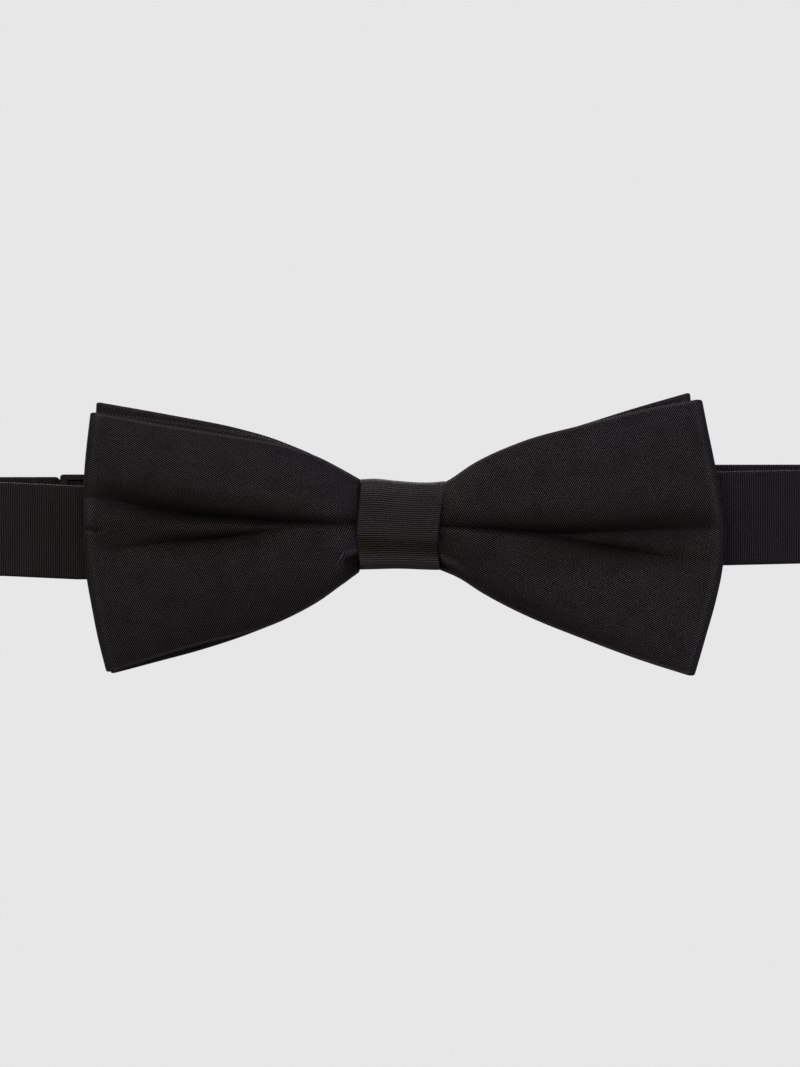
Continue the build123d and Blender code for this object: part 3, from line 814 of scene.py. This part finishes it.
def side_fold(side, sign):
    """Strap that goes round the side fold, from the front ply to the back ply."""
    split = sign * SPLIT_SIDE
    fold = sign * HINGE_FOLD
    path = joined(
        straight_path(split, fold, FRONT_Y),
        turn_path(fold, FRONT_Y, BACK_Y, sign),
        straight_path(fold, split, BACK_Y),
    )
    along = arc_lengths(path) / arc_lengths(path)[-1]
    mix = ease(np.clip((along - 0.3) / 0.4, 0, 1))
    centre = FRONT_CENTRE(path[:, 0]) * (1 - mix) + BACK_CENTRE(path[:, 0]) * mix
    width = np.full(len(path), BAND_WIDTH)
    piece = strap_piece(f"{side}_fold_strap", path, centre, width, uv_start=SPLIT_SIDE)
    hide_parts(f"{side}_fold_bend")
    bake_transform(piece)
    return piece


def blend_x(piece, a, b, x_start, x_end):
    """Bake a piece's transform into its mesh; the piece is not bent, and a, b, x_start and x_end are not
    used.
    """
    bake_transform(piece)


def front_straps(side, sign):
    """Front ply of one half: from inside the knot to the side."""
    inner = front_strap(f"{side}_front_strap_inner", straight_path(0.0, sign * SPLIT_FRONT, FRONT_Y))
    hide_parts("band_centre", f"{side}_front_band")
    blend_x(inner, "bow", f"{side}_front_band", sign * FRONT_BEND[0], sign * FRONT_BEND[1])
    outer_path = straight_path(sign * SPLIT_FRONT, sign * SPLIT_SIDE, FRONT_Y)
    outer = front_strap(f"{side}_front_strap_outer", outer_path)
    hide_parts(f"{side}_side_band")
    blend_x(outer, f"{side}_front_band", f"{side}_side_band", sign * SIDE_BEND[0], sign * SIDE_BEND[1])
    return [inner, outer]


def left_back_straps():
    """Back ply of the left half: side, tail, hook loop, doubled ply, loop round the slider's bar."""
    root = back_strap("left_back_strap", straight_path(-SPLIT_SIDE, -SPLIT_TAIL, BACK_Y))
    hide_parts("left_back_band", "left_tail_root")
    blend_x(root, "left_back_band", "left_tail_root", -BACK_BEND[0], -SPLIT_TAIL - 0.1)

    jog = eased_path(SWING_X + 0.6, SLIDER_LOW[0] - 0.1, BACK_Y, LEFT_TAIL_Y, 0.25)
    tail_path = joined(
        straight_path(-SPLIT_TAIL, SWING_X + 0.6, BACK_Y, 0.35),
        jog,
        straight_path(jog[-1, 0], -SPLIT_STRETCH, LEFT_TAIL_Y),
    )
    tail = tail_strap("left_tail_strap", tail_path)
    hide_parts("left_tail")
    blend_x(tail, "left_tail_root", "left_tail", SWING_X - SWING_REACH, SWING_X + SWING_REACH)

    # On the real tie this piece and the doubled ply get longer and shorter as the hook end is let out; here
    # they keep their length.
    stretch = tail_strap("left_tail_strap_end", straight_path(-SPLIT_STRETCH, -SPLIT_LOOP, LEFT_TAIL_Y))
    blend_x(stretch, "left_tail", "hook_strap", 1.0 - SPLIT_STRETCH, -SPLIT_LOOP - 0.5)

    loop_path = joined(
        straight_path(-SPLIT_LOOP, -HINGE_INNER, LEFT_TAIL_Y, 0.4),
        turn_path(-HINGE_INNER, LEFT_TAIL_Y, LEFT_RETURN_Y, 1.0),
        straight_path(-HINGE_INNER, -SPLIT_LOOP, LEFT_RETURN_Y, 0.4),
    )
    loop = tail_strap("hook_loop_strap", loop_path)
    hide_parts("hook_loop")
    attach(loop, "hook_strap")

    low, high = box_mm("slider_loop")
    slider_end = high[0]
    doubled = tail_strap("adjuster_return_strap", straight_path(-SPLIT_LOOP, slider_end, LEFT_RETURN_Y))
    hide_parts("adjuster_return")
    blend_x(doubled, "hook_strap", "slider", -SPLIT_LOOP - 0.5, slider_end + 0.5)

    radius = (high[1] - low[1] - TAIL_THICK) / 2
    bar_y = (low[1] + high[1]) / 2
    turn_x = low[0] + radius + TAIL_THICK / 2
    end_path = joined(
        straight_path(slider_end, turn_x, bar_y + radius, 0.4),
        turn_path(turn_x, bar_y + radius, bar_y - radius, -1.0),
        straight_path(turn_x, SLIDER_X + 3.6, bar_y - radius, 0.4),
    )
    end = tail_strap("slider_loop_strap", end_path)
    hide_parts("slider_loop")
    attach(end, "slider")
    return [root, tail, stretch, loop, doubled, end]


def right_back_straps():
    """Back ply of the right half, turned round the eye's bar and sewn to itself."""
    path = joined(
        straight_path(SPLIT_SIDE, HINGE_MIDDLE - 3.0, BACK_Y),
        eased_path(HINGE_MIDDLE - 3.0, HINGE_MIDDLE - 10.0, BACK_Y, RIGHT_TAIL_Y),
        straight_path(HINGE_MIDDLE - 10.0, HINGE_INNER, RIGHT_TAIL_Y),
        turn_path(HINGE_INNER, RIGHT_TAIL_Y, RIGHT_RETURN_Y, -1.0),
        straight_path(HINGE_INNER, HINGE_INNER + 13.0, RIGHT_RETURN_Y, 0.5),
    )
    tail = tail_strap("right_back_strap", path, RIGHT_TAIL_THICK)
    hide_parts("right_back_band", "right_tail")
    blend_x(tail, "right_back_band", "right_tail", *BACK_BEND)
    return [tail]


# ---- stitches ----
def thread_tubes(name, node, body, paths, radius, sides=8):
    """Round threads along short paths, as separate closed tubes in one mesh that stands for a node."""
    vertices, faces = [], []
    for points in paths:
        points = np.asarray(points, float)
        base = len(vertices)
        tangents = np.gradient(points, axis=0)
        tangents /= np.linalg.norm(tangents, axis=1, keepdims=True)
        guide = np.array([0.31, 0.52, 0.79])
        taper = np.sqrt(np.clip(1 - np.linspace(-1, 1, len(points)) ** 8, 0.12, 1))
        for point, tangent, scale in zip(points, tangents, taper):
            first = np.cross(tangent, guide)
            first /= np.linalg.norm(first)
            second = np.cross(tangent, first)
            for k in range(sides):
                angle = 2 * math.pi * k / sides
                outward = math.cos(angle) * first + math.sin(angle) * second
                vertices.append(point + radius * scale * outward)
        for i in range(len(points) - 1):
            for k in range(sides):
                a, b = base + i * sides + k, base + i * sides + (k + 1) % sides
                faces.append([a, b, b + sides, a + sides])
        faces.append([base + k for k in range(sides)][::-1])
        faces.append([base + (len(points) - 1) * sides + k for k in range(sides)])
    uvs = [[0.0, 0.0]] * sum(len(f) for f in faces)
    piece = make_mesh(name, vertices, faces, uvs, len(faces))
    for polygon in piece.data.polygons:
        polygon.use_smooth = len(polygon.vertices) == 4
    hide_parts(node)
    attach(piece, body)
    return piece


def stitch(start, end, lift, count=9):
    """One stitch: an arched path from start to end, lifted by a vector at its middle."""
    t = np.linspace(0, 1, count)[:, None]
    arch = 1 - (2 * t - 1) ** 4
    return np.array(start) * (1 - t) + np.array(end) * t + np.array(lift) * arch


TACK_STITCHES = 22
TACK_LIFT = 0.12
TACK_RADIUS = 0.16
# How far the slider's tack lies sunk in its strap, so that it clears the tail strap next to it.
TACK_SINK = 0.2
SEAM_RADIUS = 0.17
SEAM_LIFT = 0.16


def bar_tack_piece(name, node, faces, body):
    """Dense zigzag of thread across a strap, on both of its faces, each given as its y and its way out."""
    low, high = box_mm(node)
    paths = []
    for face_y, out in faces:
        for i in range(TACK_STITCHES):
            z0 = low[2] + (high[2] - low[2]) * i / TACK_STITCHES
            z1 = z0 + (high[2] - low[2]) / TACK_STITCHES
            x0, x1 = (low[0], high[0]) if i % 2 else (high[0], low[0])
            paths.append(stitch((x0, face_y, z0), (x1, face_y, z1), (0, out * TACK_LIFT, 0)))
    return thread_tubes(name, node, body, paths, TACK_RADIUS, 6)


def knot_stitches():
    """Slanted hand stitches along the lap at the back of the knot."""
    paths = []
    for x in np.linspace(-5.8, 5.6, 9):
        z = 0.4 * math.sin(x / 2.0) - 0.4
        below = (x - 0.5, KNOT_HIGH[1] + 0.02, z - 0.7)
        above = (x + 0.5, KNOT_HIGH[1] + 0.4, z + 0.8)
        paths.append(stitch(below, above, (0, SEAM_LIFT, 0)))
    return thread_tubes("knot_closing_stitches", "knot_seam_stitches", "bow", paths, SEAM_RADIUS)


# ---- materials ----
class Nodes:
    """Short names for building a node tree."""

    def __init__(self, name):
        self.material = bpy.data.materials.new(name)
        self.material.use_nodes = True
        self.tree = self.material.node_tree
        self.tree.nodes.clear()
        self.output = self.tree.nodes.new("ShaderNodeOutputMaterial")

    def add(self, kind, **values):
        node = self.tree.nodes.new(kind)
        for key, value in values.items():
            setattr(node, key, value)
        return node

    def link(self, source, target):
        self.tree.links.new(source, target)

    def plus(self, a, b, clamp=False):
        return self.math("ADD", a, b, clamp)

    def times(self, a, b, clamp=False):
        return self.math("MULTIPLY", a, b, clamp)

    def math(self, operation, a, b=0.0, clamp=False):
        node = self.add("ShaderNodeMath", operation=operation, use_clamp=clamp)
        for socket, value in zip(node.inputs, (a, b)):
            if isinstance(value, (int, float)):
                socket.default_value = value
            else:
                self.link(value, socket)
        return node.outputs[0]

    def noise(self, vector, scale, detail=2.0, rough=0.5):
        node = self.add("ShaderNodeTexNoise")
        node.inputs["Scale"].default_value = scale
        node.inputs["Detail"].default_value = detail
        node.inputs["Roughness"].default_value = rough
        self.link(vector, node.inputs["Vector"])
        return node.outputs["Fac"]

    def mix_colour(self, factor, first, second):
        node = self.add("ShaderNodeMix", data_type="RGBA")
        self.link(factor, node.inputs["Factor"])
        node.inputs["A"].default_value = (*first, 1)
        node.inputs["B"].default_value = (*second, 1)
        return node.outputs["Result"]

    def remap(self, value, low, high, source_low=0.0):
        """Value from the range source_low..1, as a value in the range low..high."""
        node = self.add("ShaderNodeMapRange")
        self.link(value, node.inputs["Value"])
        node.inputs["From Min"].default_value = source_low
        node.inputs["To Min"].default_value = low
        node.inputs["To Max"].default_value = high
        return node.outputs["Result"]

    def wave(self, turns):
        """Sine of a number of full turns, as a value from 0 to 1."""
        sine = self.math("SINE", self.times(turns, 2 * math.pi))
        return self.remap(sine, 0.0, 1.0, -1.0)

    def surface(self, fixed, linked, height, strength, distance):
        """The material, with set and linked inputs and a bump of at most distance millimetres."""
        shader = self.add("ShaderNodeBsdfPrincipled")
        for key, value in fixed.items():
            shader.inputs[key].default_value = value
        for key, source in linked.items():
            self.link(source, shader.inputs[key])
        relief = self.add("ShaderNodeBump")
        relief.inputs["Strength"].default_value = strength
        relief.inputs["Distance"].default_value = distance * MM
        self.link(height, relief.inputs["Height"])
        self.link(relief.outputs[0], shader.inputs["Normal"])
        self.link(shader.outputs[0], self.output.inputs["Surface"])
        return self.material


# Length of the stretches where a thread lies on top, in pitches, and their shift from line to line.
FLOAT_LENGTH = 1.5
FLOAT_STAGGER = 0.37


def woven_cloth(name, pitch, direction, dark, light, bump, shine, stripe):
    """Cloth whose raised lines run at `direction` degrees in cloth coordinates, in millimetres."""
    n = Nodes(name)
    uv = n.add("ShaderNodeUVMap", uv_map="cloth")
    split = n.add("ShaderNodeSeparateXYZ")
    n.link(uv.outputs["UV"], split.inputs[0])
    u, v = split.outputs["X"], split.outputs["Y"]
    c, s = math.cos(math.radians(direction)), math.sin(math.radians(direction))
    along = n.plus(n.times(u, c), n.times(v, s))
    across = n.math("SUBTRACT", n.times(v, c), n.times(u, s))
    turned = n.add("ShaderNodeCombineXYZ")
    n.link(along, turned.inputs["X"])
    n.link(across, turned.inputs["Y"])
    flat = turned.outputs[0]
    wander = n.noise(flat, 0.35, 3.0)
    across = n.plus(across, n.times(wander, pitch * 0.5))
    lines = n.math("DIVIDE", across, pitch)
    line = n.wave(lines)
    offset = n.times(n.math("FLOOR", lines), FLOAT_STAGGER)
    floats = n.wave(n.plus(n.math("DIVIDE", along, FLOAT_LENGTH * pitch), offset))
    fibre = n.noise(flat, 9.0, 4.0, 0.6)
    grain = n.remap(n.noise(flat, 3.2, 3.0, 0.7), -1.0, 2.0)
    blotch = n.noise(flat, 0.12, 3.0, 0.55)
    floated = n.times(n.times(line, floats), 0.25)
    height = n.plus(n.times(line, 0.75), floated)
    height = n.plus(height, n.times(fibre, 0.2))
    contrast = n.remap(n.noise(flat, 0.22, 2.0), 0.0, 2 * stripe)
    stripes = n.times(n.math("SUBTRACT", line, 0.5), contrast)
    tone = n.plus(stripes, n.times(grain, 0.14))
    tone = n.plus(tone, n.plus(n.times(blotch, 0.14), 0.33), clamp=True)
    # Painted light from the mesh attribute: above 0 it brightens colour and specular and evens out the
    # weave as a painted highlight; below 0 it darkens them as painted shade.
    painted_light = n.add("ShaderNodeAttribute", attribute_name="painted_light").outputs["Fac"]
    painted_gain = n.plus(painted_light, 1.0)
    highlight_evening = n.times(n.math("SUBTRACT", 0.55, tone), n.times(painted_light, 0.8, clamp=True))
    tone = n.plus(tone, highlight_evening)
    gloss = n.math("MAXIMUM", n.remap(tone, *shine), 0.02)
    # Painted shade tint: where the painted light is below 0, the specular is tinted warm brown.
    pressed = n.times(painted_light, -1.8, clamp=True)
    fixed = {"Sheen Weight": 0.04, "Sheen Roughness": 0.45, "Sheen Tint": (0.6, 0.58, 0.66, 1)}
    linked = {
        "Base Color": n.mix_colour(n.times(tone, painted_gain, clamp=True), dark, light),
        "Roughness": n.remap(tone, 0.62, 0.5),
        "Specular IOR Level": n.times(gloss, painted_gain),
        "Specular Tint": n.mix_colour(pressed, (0.97, 0.9, 0.94), (1.0, 0.78, 0.62)),
    }
    return n.surface(fixed, linked, height, bump, 0.12)


def object_vector(n):
    """Object coordinates in millimetres."""
    coordinates = n.add("ShaderNodeTexCoord")
    mapping = n.add("ShaderNodeMapping")
    mapping.inputs["Scale"].default_value = (1 / MM,) * 3
    n.link(coordinates.outputs["Object"], mapping.inputs["Vector"])
    return mapping.outputs[0]


def enamelled_metal():
    """Black enamel on steel: faint orange peel, fine scratches and duller worn spots."""
    n = Nodes("black_enamel")
    vector = object_vector(n)
    peel = n.noise(vector, 1.6, 3.0)
    scratch_map = n.add("ShaderNodeMapping")
    scratch_map.inputs["Scale"].default_value = (1.0, 1.0, 14.0)
    n.link(vector, scratch_map.inputs["Vector"])
    scratch = n.noise(scratch_map.outputs[0], 0.9, 6.0, 0.7)
    worn = n.math("POWER", scratch, 3.0)
    fixed = {"Specular IOR Level": 0.3, "Specular Tint": (1.0, 0.9, 0.94, 1)}
    linked = {
        "Base Color": n.mix_colour(worn, (0.003, 0.0027, 0.0028), (0.012, 0.011, 0.0112)),
        "Roughness": n.remap(scratch, 0.3, 0.55),
    }
    height = n.plus(n.times(peel, 0.6), n.times(scratch, 0.3))
    return n.surface(fixed, linked, height, 0.25, 0.04)


def sewing_thread():
    """Black thread, fibrous from noise in object space."""
    n = Nodes("black_thread")
    fibre = n.noise(object_vector(n), 4.0, 5.0, 0.65)
    colour = n.mix_colour(fibre, (0.004, 0.004, 0.004), (0.02, 0.019, 0.021))
    fixed = {"Roughness": 0.7, "Sheen Weight": 0.2, "Specular IOR Level": 0.3}
    return n.surface(fixed, {"Base Color": colour}, fibre, 0.5, 0.06)


def paint(piece, material):
    piece.data.materials.clear()
    piece.data.materials.append(material)


# ---- stage ----
# Brightness of floor and background, then the camera's distance from the knot and what it frames.
BACKDROP = 0.797
CAMERA_DISTANCE = 900.0
VIEW_WIDTH = 148.8
VIEW_HEIGHT = VIEW_WIDTH * 1067 / 800
VIEW_CENTRE = (0.2, -1.8)


def glow(name, value):
    """Material that is evenly bright from everywhere."""
    n = Nodes(name)
    emission = n.add("ShaderNodeEmission")
    emission.inputs["Color"].default_value = (value, value, value * 1.003, 1)
    n.link(emission.outputs[0], n.output.inputs["Surface"])
    return n.material


def add_floor():
    """Pale floor well below the tie; it is as bright as the background, so no horizon shows."""
    size, drop = 4.0, -0.14
    mesh = bpy.data.meshes.new("floor")
    corners = [(-size, -size, drop), (size, -size, drop), (size, size, drop), (-size, size, drop)]
    mesh.from_pydata(corners, [], [(0, 1, 2, 3)])
    floor = add_object("floor", mesh)
    paint(floor, glow("pale_floor", BACKDROP))
    floor.visible_diffuse = False
    floor.visible_glossy = False


def add_world(ambient):
    """Even pale background; it lights the tie more dimly than the camera sees it."""
    world = bpy.data.worlds.new("studio")
    bpy.context.scene.world = world
    world.use_nodes = True
    tree = world.node_tree
    tree.nodes.clear()
    output = tree.nodes.new("ShaderNodeOutputWorld")
    seen, cast = tree.nodes.new("ShaderNodeBackground"), tree.nodes.new("ShaderNodeBackground")
    seen.inputs["Color"].default_value = (BACKDROP, BACKDROP, BACKDROP * 1.003, 1)
    cast.inputs["Color"].default_value = (ambient, ambient, ambient * 1.06, 1)
    rays = tree.nodes.new("ShaderNodeLightPath")
    mix = tree.nodes.new("ShaderNodeMixShader")
    tree.links.new(rays.outputs["Is Camera Ray"], mix.inputs[0])
    tree.links.new(cast.outputs[0], mix.inputs[1])
    tree.links.new(seen.outputs[0], mix.inputs[2])
    tree.links.new(mix.outputs[0], output.inputs["Surface"])


def add_light(name, place, size, power, colour=(1, 1, 1)):
    """Soft rectangular light at a place in metres, aimed at the tie."""
    data = bpy.data.lights.new(name, "AREA")
    data.shape = "RECTANGLE"
    data.size, data.size_y = size
    data.energy = power
    data.color = colour
    light = add_object(name, data)
    light.location = place
    direction = -Vector(place)
    light.rotation_euler = direction.to_track_quat("-Z", "Y").to_euler()


def add_camera():
    """Long lens straight in front; the sensor's width lies along the frame's longer, upright side."""
    data = bpy.data.cameras.new("camera")
    data.sensor_width = 36.0
    data.lens = data.sensor_width * CAMERA_DISTANCE / VIEW_HEIGHT
    camera = add_object("camera", data)
    y = KNOT_LOW[1] - CAMERA_DISTANCE
    camera.location = (VIEW_CENTRE[0] * MM, y * MM, VIEW_CENTRE[1] * MM)
    camera.rotation_euler = (math.pi / 2, 0, 0)
    data.clip_start, data.clip_end = 0.05, 20
    bpy.context.scene.camera = camera


# ---- the whole tie ----
SILK_DARK = (0.0006, 0.0004, 0.0003)
twill = woven_cloth(
    "bow_twill", TWILL_PITCH, 45.0, SILK_DARK, (0.013, 0.0104, 0.0086),
    bump=0.9, shine=(-0.3, 1.15), stripe=1.2,
)
rib = woven_cloth(
    "band_rib", BAND_PITCH, 90.0, (0.001, 0.0008, 0.0008), (0.012, 0.0098, 0.0096),
    bump=0.8, shine=(-0.05, 0.95), stripe=0.5,
)
knot_rib = woven_cloth(
    "knot_rib", KNOT_PITCH, 90.0, SILK_DARK, (0.018, 0.0144, 0.012),
    bump=0.9, shine=(-0.3, 1.5), stripe=0.45,
)
metal = enamelled_metal()
thread = sewing_thread()

front_loop = loop_piece(
    "front_bow_cloth",
    (LEFT_FRONT, RIGHT_FRONT),
    (LEFT_FRONT_BACK, RIGHT_FRONT_BACK),
    front_loop_front,
    front_loop_back,
    front_painted_light,
    inner_y=(-15.1, -13.65),
)
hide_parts("front_bow_cover", "front_bow_interlining")
rear_loop = loop_piece(
    "rear_bow_cloth",
    (LEFT_REAR, RIGHT_REAR),
    (LEFT_REAR, RIGHT_REAR),
    rear_loop_front,
    rear_loop_back,
    edge_painted_light,
    inner_y=(-12.2, -10.75),
)
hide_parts("rear_bow_cover", "rear_bow_interlining")
for loop in (front_loop, rear_loop):
    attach(loop, "bow")
    paint(loop, twill)

knot = knot_piece()
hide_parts("knot_wrap", "knot_interlining")
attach(knot, "bow")
paint(knot, knot_rib)

straps = []
for side_name, side_sign in (("left", -1.0), ("right", 1.0)):
    straps += front_straps(side_name, side_sign)
    straps.append(side_fold(side_name, side_sign))
straps += left_back_straps() + right_back_straps()
for strap in straps:
    paint(strap, rib)

slider_faces = ((LEFT_RETURN_Y + TAIL_THICK / 2, 1.0), (box_mm("slider_loop")[0][1] + TACK_SINK, -1.0))
eye_faces = ((RIGHT_TAIL_Y + TAIL_THICK / 2, 1.0), (RIGHT_RETURN_Y - TAIL_THICK / 2, -1.0))
stitches = [
    bar_tack_piece("slider_tack_stitches", "slider_bar_tack", slider_faces, "slider"),
    bar_tack_piece("eye_tack_stitches", "eye_bar_tack", eye_faces, "right_tail"),
    knot_stitches(),
]
for piece in stitches:
    paint(piece, thread)

for node in ("slider", "hook", "eye"):
    paint(frame["nodes"][node], metal)
for node in ("gathering_thread", "band_anchor_stitches"):
    paint(frame["nodes"][node], thread)

add_floor()
add_world(ambient=0.13)
add_light("key", (-0.1, -1.15, 0.55), (0.9, 0.5), 4.7, (1.0, 0.98, 0.92))
add_light("overhead", (0.0, -0.25, 1.1), (0.9, 0.5), 1.1)
add_light("low_fill", (0.0, -1.1, -0.7), (0.9, 0.4), 0.7)
add_light("right", (1.0, -0.5, 0.15), (0.5, 0.8), 0.75, (0.97, 0.93, 1.7))
add_light("left", (-1.0, -0.5, 0.15), (0.5, 0.8), 0.8, (1.12, 1.0, 0.6))
add_light("behind", (-0.2, 1.2, 0.5), (0.9, 0.6), 4.5)
add_camera()
bpy.context.scene.view_settings.view_transform = "Standard"
